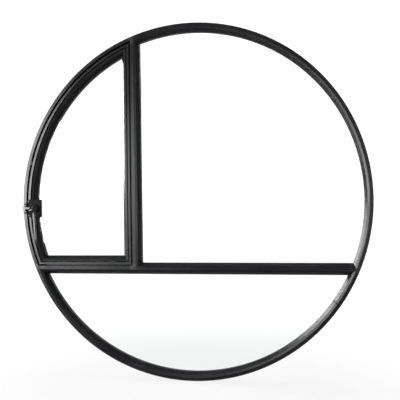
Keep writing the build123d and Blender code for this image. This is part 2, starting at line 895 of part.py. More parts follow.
def build():
    """Every piece of the window by name."""
    parts = {}
    cross_bar = transom()
    parts["outer_ring"] = outer_ring()
    parts["transom"] = cross_bar
    parts["mullion"] = mullion(cross_bar)

    sides = ["bottom", "left"]
    upper = bead_set(upper_light, bead_width, bead_slope_width, bead_face, sides)
    parts["upper_transom_bead"] = upper["bottom"]
    parts["upper_mullion_bead"] = upper["left"]
    parts["upper_arc_bead"] = upper["arc"]
    lower = bead_set(lower_light, bead_width, bead_slope_width, bead_face, ["top"])
    parts["lower_transom_bead"] = lower["top"]
    long_arc, short_arc = split_arc(lower["arc"], bead_joint_angle)
    parts["lower_arc_bead_long"] = long_arc
    parts["lower_arc_bead_short"] = short_arc
    parts["bead_clips"] = frame_clips()

    cover = bead_width - glass_edge_gap
    parts["upper_glass"] = pane(upper_light, cover)
    parts["lower_glass"] = pane(lower_light, cover)
    parts["upper_gasket"] = gasket(upper_light)
    parts["lower_gasket"] = gasket(lower_light)
    parts["upper_glazing_tape"] = tape(upper_light)
    parts["lower_glazing_tape"] = tape(lower_light)
    parts["upper_setting_blocks"] = level_blocks(upper_light, cover)
    parts["lower_setting_blocks"] = ring_blocks(lower_block_angles)

    stile, rail, arc = casement_bars()
    parts["casement_stile"] = stile
    parts["casement_rail"] = rail
    parts["casement_arc"] = arc
    face = casement_setback + casement_bead_drop
    sides = ["bottom", "right"]
    beads = bead_set(casement_light, casement_bead_width, casement_bead_slope, face, sides)
    parts["casement_rail_bead"] = beads["bottom"]
    parts["casement_stile_bead"] = beads["right"]
    parts["casement_arc_bead"] = beads["arc"]
    parts["casement_bead_clips"] = casement_clips()
    cover = casement_face_width - flange_width - glass_edge_gap
    parts["casement_glass"] = pane(casement_light, cover)
    parts["casement_gasket"] = gasket(casement_light)
    parts["casement_glazing_tape"] = tape(casement_light)
    parts["casement_setting_blocks"] = level_blocks(casement_light, cover)

    for name, height in zip(("upper", "lower"), hinge_heights):
        parts[name + "_hinge_frame_leaf"] = frame_leaf(height)
        parts[name + "_hinge_casement_leaf"] = casement_leaf(height)
        parts[name + "_hinge_pin"] = hinge_pin(height)
    parts["frame_hinge_screws"], parts["casement_hinge_screws"] = hinge_screws()

    parts["handle_plate"] = handle_plate()
    parts["handle_rose"] = handle_rose()
    parts["handle_lever"] = handle_lever()
    parts["handle_spindle"] = spindle()
    parts["spindle_nut"] = spindle_nut()
    parts["keeper"] = keeper()
    parts["keeper_screws"], parts["handle_plate_screws"] = small_screws()
    parts["closing_pad"] = closing_pad()
    return parts


os.makedirs("parts", exist_ok=True)
for node, shape in build().items():
    export_step(shape, "parts/" + node + ".step")
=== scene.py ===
import math

import bmesh
import bpy
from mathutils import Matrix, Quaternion, Vector


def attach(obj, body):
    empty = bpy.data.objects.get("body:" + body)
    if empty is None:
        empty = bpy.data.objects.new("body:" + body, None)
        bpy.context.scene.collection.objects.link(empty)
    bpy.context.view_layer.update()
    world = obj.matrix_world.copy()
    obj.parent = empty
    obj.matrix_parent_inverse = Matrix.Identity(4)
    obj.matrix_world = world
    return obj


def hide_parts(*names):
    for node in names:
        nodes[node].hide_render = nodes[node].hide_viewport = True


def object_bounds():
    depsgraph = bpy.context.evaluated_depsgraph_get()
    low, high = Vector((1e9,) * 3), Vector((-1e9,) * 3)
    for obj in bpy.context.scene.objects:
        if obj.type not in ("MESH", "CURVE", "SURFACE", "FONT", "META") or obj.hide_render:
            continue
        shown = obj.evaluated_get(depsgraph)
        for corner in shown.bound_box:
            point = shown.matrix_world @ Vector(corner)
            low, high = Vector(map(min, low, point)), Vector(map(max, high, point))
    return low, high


bl_info = {
    "name": "Porthole Window",
    "version": (1, 0, 0),
    "blender": (4, 5, 0),
    "location": "3D View > Sidebar > Porthole",
    "description": "Finishes a round steel window with a casement and sets it in a plain studio",
    "category": "Object",
}

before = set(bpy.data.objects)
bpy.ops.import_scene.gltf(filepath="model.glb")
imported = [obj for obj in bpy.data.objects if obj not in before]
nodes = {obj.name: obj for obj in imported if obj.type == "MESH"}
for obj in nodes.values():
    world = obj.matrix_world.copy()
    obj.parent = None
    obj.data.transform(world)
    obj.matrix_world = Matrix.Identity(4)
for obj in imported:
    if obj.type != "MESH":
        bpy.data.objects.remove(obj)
cad_low, cad_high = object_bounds()

# The pieces by finish
FRAME_BARS = ("outer_ring", "transom", "mullion")
CASEMENT_BARS = ("casement_stile", "casement_rail", "casement_arc")
BEADS = (
    "upper_transom_bead",
    "upper_mullion_bead",
    "upper_arc_bead",
    "lower_transom_bead",
    "lower_arc_bead_long",
    "lower_arc_bead_short",
    "casement_rail_bead",
    "casement_stile_bead",
    "casement_arc_bead",
)
PANES = ("upper_glass", "lower_glass", "casement_glass")
RUBBERS = (
    "upper_gasket",
    "lower_gasket",
    "casement_gasket",
    "upper_glazing_tape",
    "lower_glazing_tape",
    "casement_glazing_tape",
)
BLOCKS = ("upper_setting_blocks", "lower_setting_blocks", "casement_setting_blocks")
CLIPS = ("bead_clips", "casement_bead_clips")
HINGE_LEAVES = (
    "upper_hinge_frame_leaf",
    "lower_hinge_frame_leaf",
    "upper_hinge_casement_leaf",
    "lower_hinge_casement_leaf",
)
HINGE_PINS = ("upper_hinge_pin", "lower_hinge_pin")
HINGE_SCREWS = ("frame_hinge_screws", "casement_hinge_screws")

MM = 0.001

# Satin paint: sizes and depths in metres, shares of its colour, and steps of its roughness
PATCH_SIZE = 0.09
PATCH_SHADES = (0.7, 1.4)
PATCH_DULLING = (-0.05, 0.07)
WAVE_SIZE = 0.024
WAVE_DEPTH = 0.00003
SKIN_DEPTH = 0.000008
DUST_SIZE = 0.012
DUST_AMOUNT = (0.1, 0.75)
DUST_DULLING = 0.4
LEDGE_TILT = (0.9, 1.0)

# The joint of the two lower arc beads: its angle on the ring, where the painted shade along its
# notch ends, and the colour of that painted shade
JOINT_ANGLE = -35.0
NOTCH_SHADE_REACH = (0.0011, 0.0016)
NOTCH_SHADE_COLOUR = (0.002, 0.002, 0.002)

# Ground welds on the room side, as places across and up the window, and how far they reach
WELDS = ((-0.162, -0.189), (-0.162, 0.463), (0.452, -0.189), (-0.452, -0.189))
WELD_REACH = (0.007, 0.016)
WELD_COLOUR = (0.02, 0.0185, 0.0165)
WELD_GRAIN = 0.004
WELD_DULLING = 0.7
WELD_DEPTH = 0.0004

# Paint that differs: its share of the settings' colour, and its own roughness
OFFCUT = (2.2, 0.3)
CLIP_ROUGHNESS = 0.45
HINGE_SHARE = 1.2
PLATE = (1.3, 0.5)
PLATE_GLOSS = 0.12
HANDLE = (1.5, 0.17)
BLACK_SCREW = (1.8, 0.35)

# Rubber, steel and plastic: colours with roughness, sizes and depths in metres
BLOOM_SIZE = 0.03
BLOOM_SHARE = 1.8
RUBBER_ROUGHNESS = (0.6, 0.85)
RUBBER_GRAIN = 0.0008
RUBBER_DEPTH = 0.00003
PIN_STEEL = ((0.6, 0.6, 0.6), 0.22)
SCREW_STEEL = ((0.5, 0.5, 0.5), 0.35)
SPINDLE_STEEL = ((0.5, 0.5, 0.5), 0.3)
STEEL_PATCH = 0.008
STEEL_DULL_SHARE = 0.75
STEEL_GRAIN = 0.0012
STEEL_DEPTH = 0.00001
STEEL_DULLING = (-0.08, 0.1)
BLOCK_PLASTIC = ((0.25, 0.25, 0.25), 0.5)
PAD_PLASTIC = ((0.05, 0.05, 0.055), 0.45)
PLASTIC_TONE = 0.015
PLASTIC_SHADES = (0.85, 1.1)
PLASTIC_GRAIN = 0.0006
PLASTIC_DEPTH = 0.00002
PLASTIC_DULLING = (-0.05, 0.08)

# Glass: where its film starts and ends in the noise, and how rough the film is
FILM_SIZE = 0.07
FILM_EDGES = (0.5, 0.8)
FILM_ROUGHNESS = 0.012
GLASS_IOR = 1.5
GLASS_GLOSS = 0.3


class PaintSettings(bpy.types.PropertyGroup):
    """Colours and surface of the painted steel."""

    frame_colour: bpy.props.FloatVectorProperty(
        name="Frame colour",
        description="Paint on the ring, transom, mullion and casement bars",
        subtype="COLOR",
        default=(0.0085, 0.0085, 0.0098),
        min=0.0,
        max=1.0,
    )
    bead_colour: bpy.props.FloatVectorProperty(
        name="Bead colour",
        description="Paint on the glazing beads",
        subtype="COLOR",
        default=(0.008, 0.008, 0.0092),
        min=0.0,
        max=1.0,
    )
    dust_colour: bpy.props.FloatVectorProperty(
        name="Dust colour",
        description="Dust that lies on the ledges",
        subtype="COLOR",
        default=(0.07, 0.07, 0.07),
        min=0.0,
        max=1.0,
    )
    roughness: bpy.props.FloatProperty(
        name="Roughness",
        description="Mean roughness of the satin paint",
        subtype="FACTOR",
        default=0.21,
        min=0.0,
        max=1.0,
    )
    skin_size: bpy.props.FloatProperty(
        name="Skin size",
        description="Width of the fine unevenness in the paint's skin",
        unit="LENGTH",
        default=0.0022,
        min=0.0002,
        max=0.02,
    )


class GlassSettings(bpy.types.PropertyGroup):
    """The clear panes and the rubber that holds them."""

    tint: bpy.props.FloatVectorProperty(
        name="Glass tint",
        description="Colour of light that has passed a pane",
        subtype="COLOR",
        default=(0.985, 0.995, 0.99),
        min=0.0,
        max=1.0,
    )
    rubber_colour: bpy.props.FloatVectorProperty(
        name="Rubber colour",
        description="Colour of the gaskets and glazing tapes",
        subtype="COLOR",
        default=(0.012, 0.012, 0.012),
        min=0.0,
        max=1.0,
    )


class StageSettings(bpy.types.PropertyGroup):
    """The floor, the light and the camera."""

    floor_colour: bpy.props.FloatVectorProperty(
        name="Floor colour",
        description="Colour of the plain floor",
        subtype="COLOR",
        default=(0.8, 0.8, 0.8),
        min=0.0,
        max=1.0,
    )
    floor_width: bpy.props.FloatProperty(
        name="Floor width",
        description="Width of the floor and of the backdrop that it curves up into",
        unit="LENGTH",
        default=8.0,
        min=2.0,
        max=50.0,
    )
    studio_level: bpy.props.FloatProperty(
        name="Studio level",
        description="Brightness of the unlit studio all round",
        subtype="FACTOR",
        default=0.15,
        min=0.0,
        max=1.0,
    )
    room_level: bpy.props.FloatProperty(
        name="Room panel level",
        description="Brightness of the soft panel at the left behind the camera",
        subtype="FACTOR",
        default=13.0,
        min=0.0,
        max=20.0,
    )
    fill_level: bpy.props.FloatProperty(
        name="Fill panel level",
        description="Brightness of the weaker panel to the right of the room panel",
        subtype="FACTOR",
        default=1.8,
        min=0.0,
        max=20.0,
    )
    side_level: bpy.props.FloatProperty(
        name="Side panel level",
        description="Brightness of the weak panel behind the camera, seen in the beads' lands",
        subtype="FACTOR",
        default=2.5,
        min=0.0,
        max=20.0,
    )
    wash_level: bpy.props.FloatProperty(
        name="Wash level",
        description="Brightness of the broad light that brings a colour up to how it is written",
        subtype="FACTOR",
        default=4.5,
        min=0.0,
        max=20.0,
    )
    sky_level: bpy.props.FloatProperty(
        name="Sky panel level",
        description="Brightness of the soft panel at the left outside the window",
        subtype="FACTOR",
        default=7.5,
        min=0.0,
        max=20.0,
    )
    back_level: bpy.props.FloatProperty(
        name="Back panel level",
        description="Brightness of the soft panel at the right outside the window",
        subtype="FACTOR",
        default=4.0,
        min=0.0,
        max=20.0,
    )


def paint_settings():
    """The scene's paint settings."""
    return bpy.context.scene.porthole_paint


def glass_settings():
    """The scene's glass and rubber settings."""
    return bpy.context.scene.porthole_glass


def stage_settings():
    """The scene's floor, light and camera settings."""
    return bpy.context.scene.porthole_stage


# Shader building


def fresh(name):
    """A new material, its node tree and its shader."""
    material = bpy.data.materials.new(name)
    material.use_nodes = True
    tree = material.node_tree
    return material, tree, tree.nodes["Principled BSDF"]


def add(tree, kind, inputs=None, **settings):
    """A shader node with its settings and its input values."""
    made = tree.nodes.new("ShaderNode" + kind)
    for key, value in settings.items():
        setattr(made, key, value)
    for key, value in (inputs or {}).items():
        if isinstance(value, bpy.types.NodeSocket):
            tree.links.new(value, made.inputs[key])
        else:
            made.inputs[key].default_value = value
    return made


def place(tree):
    """Coordinates fixed to the piece, in metres."""
    return add(tree, "TexCoord").outputs["Object"]


def noise(tree, where, size, detail=3.0):
    """Noise with features of about this size in metres, from 0 to 1."""
    inputs = {"Vector": where, "Scale": 1 / size, "Detail": detail}
    return add(tree, "TexNoise", inputs).outputs["Fac"]


def spread(tree, value, low, high, start=0.3, end=0.7):
    """Maps start to end of a value onto low to high."""
    inputs = {"Value": value, "From Min": start, "From Max": end, "To Min": low, "To Max": high}
    return add(tree, "MapRange", inputs).outputs["Result"]


def reckon(tree, operation, first, second, **settings):
    """One Math node's result for two values."""
    inputs = {0: first, 1: second}
    return add(tree, "Math", inputs, operation=operation, **settings).outputs["Value"]


def times(tree, first, second):
    """The product of two values."""
    return reckon(tree, "MULTIPLY", first, second)


def either(tree, first, second):
    """The larger of two values."""
    return reckon(tree, "MAXIMUM", first, second)


def blend(tree, factor, first, second):
    """A colour between two colours."""
    made = add(tree, "Mix", data_type="RGBA")
    tree.links.new(factor, made.inputs["Factor"])
    for socket, value in zip((made.inputs[6], made.inputs[7]), (first, second)):
        if isinstance(value, bpy.types.NodeSocket):
            tree.links.new(value, socket)
        else:
            socket.default_value = (*value, 1.0)
    return made.outputs[2]


def dulled(tree, value, roughness, steps):
    """Roughness that follows a value, between two steps from its mean."""
    return spread(tree, value, roughness + steps[0], roughness + steps[1])


def shaded(tree, value, colour, shares):
    """A colour that follows a value, between two shares of itself."""
    return blend(tree, value, lighter(colour, shares[0]), lighter(colour, shares[1]))


def raised(tree, height, depth, below=None):
    """A normal from a height map whose full range is this depth in metres."""
    inputs = {"Height": height, "Distance": depth, "Strength": 1.0}
    if below:
        inputs["Normal"] = below
    return add(tree, "Bump", inputs).outputs["Normal"]


def facing_up(tree):
    """1 on faces that look up, 0 on the rest."""
    normal = add(tree, "TexCoord").outputs["Normal"]
    height = add(tree, "SeparateXYZ", {"Vector": normal}).outputs["Z"]
    return spread(tree, height, 0.0, 1.0, *LEDGE_TILT)


def lighter(colour, share):
    """A colour brought up or down by a share, no channel above 1."""
    return tuple(min(1.0, channel * share) for channel in colour)


def finish(material, *names):
    """Gives a material to every slot of the named CAD nodes."""
    for name in names:
        for slot in nodes[name].material_slots:
            slot.material = material


def notch_shade(tree, where):
    """1 on the painted shade along the notch where the two lower arc beads meet, 0 elsewhere."""
    turn = math.radians(JOINT_ANGLE)
    inputs = {0: where, 1: (-math.sin(turn), 0.0, math.cos(turn))}
    across = add(tree, "VectorMath", inputs, operation="DOT_PRODUCT").outputs["Value"]
    distance = add(tree, "Math", {0: across}, operation="ABSOLUTE").outputs["Value"]
    return spread(tree, distance, 1.0, 0.0, *NOTCH_SHADE_REACH)


def welds(tree, where):
    """1 on the ground patches where the bars are welded together, 0 elsewhere."""
    patch = 0.0
    for across, up in WELDS:
        inputs = {0: where, 1: (across, 0.0, up)}
        away = add(tree, "VectorMath", inputs, operation="DISTANCE").outputs["Value"]
        patch = either(tree, patch, spread(tree, away, 1.0, 0.0, *WELD_REACH))
    return patch


def satin_paint(name, colour, roughness, notch_shaded=False, welded=False):
    """Black satin paint on steel, with a fine skin, rubbed patches and dust on its ledges."""
    settings = paint_settings()
    material, tree, shader = fresh(name)
    where = place(tree)
    patches = noise(tree, where, PATCH_SIZE, detail=4.0)
    waves = noise(tree, where, WAVE_SIZE, detail=2.0)
    skin = noise(tree, where, settings.skin_size, detail=2.0)
    settled = spread(tree, noise(tree, where, DUST_SIZE, detail=6.0), *DUST_AMOUNT)
    dust = times(tree, facing_up(tree), settled)
    shade = shaded(tree, patches, colour, PATCH_SHADES)
    shade = blend(tree, dust, shade, settings.dust_colour)
    rubbed = dulled(tree, patches, roughness, PATCH_DULLING)
    dull = reckon(tree, "ADD", rubbed, times(tree, dust, DUST_DULLING))
    # Painted shade: a dark, dull line along the notch where the two lower arc beads meet
    if notch_shaded:
        line = notch_shade(tree, where)
        shade = blend(tree, line, shade, NOTCH_SHADE_COLOUR)
        dull = either(tree, dull, line)
    bumps = raised(tree, skin, SKIN_DEPTH, raised(tree, waves, WAVE_DEPTH))
    if welded:
        grain = noise(tree, where, WELD_GRAIN, detail=4.0)
        patch = times(tree, welds(tree, where), grain)
        shade = blend(tree, patch, shade, WELD_COLOUR)
        dull = either(tree, dull, times(tree, patch, WELD_DULLING))
        bumps = raised(tree, patch, WELD_DEPTH, bumps)
    tree.links.new(shade, shader.inputs["Base Color"])
    tree.links.new(dull, shader.inputs["Roughness"])
    tree.links.new(bumps, shader.inputs["Normal"])
    return material


def rubber(name, colour):
    """Matt black rubber with a dry bloom."""
    material, tree, shader = fresh(name)
    where = place(tree)
    bloom = noise(tree, where, BLOOM_SIZE, detail=5.0)
    grain = noise(tree, where, RUBBER_GRAIN, detail=2.0)
    shade = blend(tree, bloom, colour, lighter(colour, BLOOM_SHARE))
    tree.links.new(shade, shader.inputs["Base Color"])
    tree.links.new(spread(tree, bloom, *RUBBER_ROUGHNESS), shader.inputs["Roughness"])
    tree.links.new(raised(tree, grain, RUBBER_DEPTH), shader.inputs["Normal"])
    return material


def steel(name, colour, roughness):
    """Plated or bright steel with fine grain and a few dull patches."""
    material, tree, shader = fresh(name)
    where = place(tree)
    patches = noise(tree, where, STEEL_PATCH, detail=4.0)
    grain = noise(tree, where, STEEL_GRAIN)
    shade = blend(tree, patches, lighter(colour, STEEL_DULL_SHARE), colour)
    tree.links.new(shade, shader.inputs["Base Color"])
    tree.links.new(dulled(tree, grain, roughness, STEEL_DULLING), shader.inputs["Roughness"])
    tree.links.new(raised(tree, grain, STEEL_DEPTH), shader.inputs["Normal"])
    shader.inputs["Metallic"].default_value = 1.0
    return material


def plastic(name, colour, roughness):
    """Moulded plastic with a fine matt grain."""
    material, tree, shader = fresh(name)
    where = place(tree)
    tone = noise(tree, where, PLASTIC_TONE)
    grain = noise(tree, where, PLASTIC_GRAIN, detail=2.0)
    tree.links.new(shaded(tree, tone, colour, PLASTIC_SHADES), shader.inputs["Base Color"])
    tree.links.new(dulled(tree, grain, roughness, PLASTIC_DULLING), shader.inputs["Roughness"])
    tree.links.new(raised(tree, grain, PLASTIC_DEPTH), shader.inputs["Normal"])
    return material


def clear_glass(name, tint):
    """Clear float glass with the faintest film, which lets the lamps through."""
    material, tree, shader = fresh(name)
    where = place(tree)
    film = noise(tree, where, FILM_SIZE, detail=5.0)
    roughness = spread(tree, film, 0.0, FILM_ROUGHNESS, *FILM_EDGES)
    tree.links.new(roughness, shader.inputs["Roughness"])
    shader.inputs["Base Color"].default_value = (*tint, 1.0)
    shader.inputs["Transmission Weight"].default_value = 1.0
    shader.inputs["IOR"].default_value = GLASS_IOR
    shader.inputs["Specular IOR Level"].default_value = GLASS_GLOSS
    clear = add(tree, "BsdfTransparent", {"Color": (*tint, 1.0)})
    shadow = add(tree, "LightPath").outputs["Is Shadow Ray"]
    mixed = add(tree, "MixShader", {"Fac": shadow})
    tree.links.new(shader.outputs["BSDF"], mixed.inputs[1])
    tree.links.new(clear.outputs["BSDF"], mixed.inputs[2])
    tree.links.new(mixed.outputs["Shader"], tree.nodes["Material Output"].inputs["Surface"])
    return material


class PORTHOLE_OT_frame_bars(bpy.types.Operator):
    """Paints the ring, the transom, the mullion and the casement's bars"""

    bl_idname = "porthole.frame_bars"
    bl_label = "Frame and Casement Bars"

    def execute(self, context):
        settings = paint_settings()
        colour, roughness = settings.frame_colour, settings.roughness
        paint = satin_paint("frame_paint", colour, roughness, welded=True)
        finish(paint, *FRAME_BARS, *CASEMENT_BARS)
        return {"FINISHED"}


class PORTHOLE_OT_beads(bpy.types.Operator):
    """Paints the glazing beads and their clips"""

    bl_idname = "porthole.beads"
    bl_label = "Glazing Beads"

    def execute(self, context):
        settings = paint_settings()
        paint = satin_paint("bead_paint", settings.bead_colour, settings.roughness)
        finish(paint, *BEADS)
        colour, roughness = settings.bead_colour, settings.roughness
        # The two lower arc beads carry the painted shade of the notch at their joint
        long_bead = satin_paint("long_bead_paint", colour, roughness, notch_shaded=True)
        finish(long_bead, "lower_arc_bead_long")
        share, roughness = OFFCUT
        offcut = satin_paint("offcut_paint", lighter(colour, share), roughness, notch_shaded=True)
        finish(offcut, "lower_arc_bead_short")
        finish(satin_paint("clip_black", colour, CLIP_ROUGHNESS), *CLIPS)
        return {"FINISHED"}


class PORTHOLE_OT_glazing(bpy.types.Operator):
    """Finishes the panes, gaskets, glazing tapes and setting blocks"""

    bl_idname = "porthole.glazing"
    bl_label = "Glass and Rubber"

    def execute(self, context):
        settings = glass_settings()
        finish(clear_glass("pane_glass", settings.tint), *PANES)
        finish(rubber("gasket_rubber", settings.rubber_colour), *RUBBERS)
        finish(plastic("block_plastic", *BLOCK_PLASTIC), *BLOCKS)
        finish(plastic("pad_plastic", *PAD_PLASTIC), "closing_pad")
        return {"FINISHED"}


class PORTHOLE_OT_hinges(bpy.types.Operator):
    """Finishes the hinges on the outside of the mullion"""

    bl_idname = "porthole.hinges"
    bl_label = "Hinges"

    def execute(self, context):
        settings = paint_settings()
        colour = lighter(settings.frame_colour, HINGE_SHARE)
        finish(satin_paint("hinge_paint", colour, settings.roughness), *HINGE_LEAVES)
        finish(steel("pin_steel", *PIN_STEEL), *HINGE_PINS)
        finish(steel("screw_steel", *SCREW_STEEL), *HINGE_SCREWS)
        return {"FINISHED"}


# Lever, in millimetres and degrees: the pivot across and up the window, then the sections down
# the blade as (distance below the pivot, middle depth, width, thickness), the sections out along
# the nose as (distance from the pivot, width, thickness), and the hub as (radius, depth)
PIVOT = (-459.0, -13.5)
LEVER_LEAN = 4.5
BLADE_SECTIONS = (
    (-7.0, -14.6, 5.0, 3.0),
    (-6.0, -15.0, 9.0, 4.6),
    (-3.0, -15.8, 11.0, 5.4),
    (1.0, -16.9, 11.4, 6.0),
    (6.0, -18.6, 10.8, 6.4),
    (12.0, -20.3, 9.6, 6.4),
    (18.0, -21.1, 8.8, 6.0),
    (26.0, -21.4, 8.2, 5.6),
    (38.0, -21.7, 7.7, 5.4),
    (56.0, -22.05, 7.1, 5.4),
    (76.0, -22.4, 6.6, 5.3),
    (92.0, -22.6, 6.2, 5.1),
    (99.0, -22.6, 6.0, 4.8),
    (102.6, -22.5, 4.9, 4.0),
    (104.4, -22.4, 2.9, 2.4),
    (105.0, -22.4, 1.2, 1.0),
)
BLADE_TURN = 2.0
NOSE_TURN = 22.0
NOSE_DEPTH = -9.95
NOSE_SECTIONS = (
    (0.0, 7.4, 5.2),
    (8.0, 7.2, 5.4),
    (14.0, 6.6, 5.5),
    (19.5, 6.4, 5.4),
    (22.4, 5.2, 4.4),
    (23.6, 3.2, 2.8),
    (24.0, 1.2, 1.1),
)
HUB_PROFILE = (
    (8.0, -9.2),
    (8.5, -9.7),
    (8.5, -15.4),
    (8.0, -16.6),
    (6.9, -17.2),
)
SECTION_SIDES = 28
SECTION_POWER = 5.5
HUB_SIDES = 48
LEVER_VOXEL = 0.0006
SMOOTHING_SHARE = 0.5
SMOOTHING_ROUNDS = 4


def outline(width, thickness):
    """A rounded section, as points across and through the blade."""
    points = []
    for side in range(SECTION_SIDES):
        turn = 2 * math.pi * side / SECTION_SIDES
        across, through = math.cos(turn), math.sin(turn)
        total = abs(across) ** SECTION_POWER + abs(through) ** SECTION_POWER
        size = total ** (-1 / SECTION_POWER)
        points.append((across * size * width / 2, through * size * thickness / 2))
    return points


def skin(build, rings):
    """Closes a row of point rings with quads and two end faces."""
    rows = [[build.verts.new(point) for point in ring] for ring in rings]
    for near, beyond in zip(rows, rows[1:]):
        for index in range(len(near)):
            after = (index + 1) % len(near)
            build.faces.new((near[index], near[after], beyond[after], beyond[index]))
    build.faces.new(reversed(rows[0]))
    build.faces.new(rows[-1])


def lever_mesh():
    """The lever's hub, blade and nose, pivot at the origin, in metres."""
    build = bmesh.new()
    lean = Quaternion((0.0, 1.0, 0.0), math.radians(-LEVER_LEAN))
    face = Quaternion((0.0, 0.0, 1.0), math.radians(-BLADE_TURN))
    blade = []
    for down, depth, width, thickness in BLADE_SECTIONS:
        middle = Vector((0.0, depth, -down))
        ring = [middle + face @ Vector((x, y, 0.0)) for x, y in outline(width, thickness)]
        blade.append([lean @ point * MM for point in ring])
    skin(build, blade)
    turned = Quaternion((0.0, 1.0, 0.0), math.radians(-NOSE_TURN))
    nose = []
    for along, width, thickness in NOSE_SECTIONS:
        ring = [Vector((-along, NOSE_DEPTH + y, x)) for x, y in outline(width, thickness)]
        nose.append([turned @ point * MM for point in ring])
    skin(build, nose)
    hub = []
    for radius, depth in HUB_PROFILE:
        ring = []
        for side in range(HUB_SIDES):
            turn = 2 * math.pi * side / HUB_SIDES
            ring.append(Vector((radius * math.cos(turn), depth, radius * math.sin(turn))) * MM)
        hub.append(ring)
    skin(build, hub)
    bmesh.ops.recalc_face_normals(build, faces=build.faces)
    mesh = bpy.data.meshes.new("lever")
    build.to_mesh(mesh)
    build.free()
    return mesh


def forged_lever(material):
    """The lever as one forging: its three forms joined and smoothed where they meet."""
    lever = bpy.data.objects.new("lever", lever_mesh())
    bpy.context.scene.collection.objects.link(lever)
    lever.location = (PIVOT[0] * MM, 0.0, PIVOT[1] * MM)
    joined = lever.modifiers.new("joined", "REMESH")
    joined.mode = "VOXEL"
    joined.voxel_size = LEVER_VOXEL
    joined.use_smooth_shade = True
    smoothed = lever.modifiers.new("smoothed", "SMOOTH")
    smoothed.factor = SMOOTHING_SHARE
    smoothed.iterations = SMOOTHING_ROUNDS
    graph = bpy.context.evaluated_depsgraph_get()
    forged = bpy.data.meshes.new_from_object(lever.evaluated_get(graph))
    lever.modifiers.clear()
    lever.data = forged
    forged.materials.clear()
    forged.materials.append(material)
    forged.polygons.foreach_set("use_smooth", [True] * len(forged.polygons))
    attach(lever, "handle")
    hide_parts("handle_lever")


class PORTHOLE_OT_handle(bpy.types.Operator):
    """Forges the lever and finishes its plate, its spindle and the keeper"""

    bl_idname = "porthole.handle"
    bl_label = "Handle and Keeper"

    def execute(self, context):
        colour = paint_settings().frame_colour
        share, roughness = PLATE
        matt = satin_paint("plate_paint", lighter(colour, share), roughness)
        shader = matt.node_tree.nodes["Principled BSDF"]
        shader.inputs["Specular IOR Level"].default_value = PLATE_GLOSS
        finish(matt, "handle_plate", "handle_rose")
        share, roughness = HANDLE
        paint = satin_paint("handle_paint", lighter(colour, share), roughness)
        finish(paint, "keeper")
        forged_lever(paint)
        share, roughness = BLACK_SCREW
        black = satin_paint("black_screw", lighter(colour, share), roughness)
        finish(black, "keeper_screws", "handle_plate_screws")
        finish(steel("spindle_steel", *SPINDLE_STEEL), "handle_spindle", "spindle_nut")
        return {"FINISHED"}


# Studio: the floor meets the ring's lowest point and curves up into the backdrop. Each panel is
# given as (place, width, height). The room panel is far off at the left behind the camera, so
# that the flat faces on the left catch it, and the fill panel stands beside it. The side panel is
# where the beads' lands look, and the wash panel lights colours but isn't mirrored. The sky panel
# stands at the left outside, where the bead slopes on the right look.
FLOOR_GAP = 0.0004
FLOOR_FRONT = -2.4
BACKDROP_PLACE = 4.4
BACKDROP_HEIGHT = 4.0
SWEEP_RADIUS = 1.2
SWEEP_STEPS = 16
ROOM_PANEL = ((-3.57, -5.55, 0.35), 2.3, 1.5)
FILL_PANEL = ((-2.07, -6.0, 0.35), 1.0, 1.5)
SIDE_PANEL = ((1.25, -6.0, 0.1), 0.7, 2.0)
WASH_PANEL = ((0.6, -5.0, 2.6), 4.0, 3.0)
SKY_PANEL = ((-3.3, 1.76, 1.28), 3.4, 2.2)
BACK_PANEL = ((1.6, 4.2, 1.6), 1.8, 1.8)

# Background: how white the world is, how strongly the floor glows near the window and far off
# when it is seen straight, and how strongly when it is mirrored
WHITE = 1.1
NEAR_GLOW = 0.97
FAR_GLOW = 1.28
GLOW_REACH = (0.6, 1.4)
GLOW_SHARE = 0.85
MIRRORED_GLOW = 0.12
MIRRORED_REACH = (0.1, 1.6)
MIRRORED_SKY = (0.6, 0.95)
MIRROR_BOUNCES = 0.5
FLOOR_TONE = 0.5
FLOOR_SHARE = 0.97
FLOOR_ROUGHNESS = 0.9
FLOOR_GLOSS = 0.1

# Camera: place and target in metres, roll in degrees, lens in millimetres
CAMERA_PLACE = (0.4308, -1.86, -0.0261)
CAMERA_TARGET = (0.03144, 0.0, 0.00276)
CAMERA_ROLL = -0.8021
CAMERA_LENS = 61.6


def ray_kinds(tree):
    """1 for a ray that comes straight or through glass, and 1 for one that was mirrored.

    A ray through glass counts as glossy too, so the mirror bounces tell them apart."""
    path = add(tree, "LightPath")
    bounced = reckon(tree, "GREATER_THAN", path.outputs["Glossy Depth"], MIRROR_BOUNCES)
    passed = path.outputs["Is Transmission Ray"]
    through = reckon(tree, "SUBTRACT", passed, bounced, use_clamp=True)
    straight = either(tree, path.outputs["Is Camera Ray"], through)
    return straight, times(tree, path.outputs["Is Glossy Ray"], bounced)


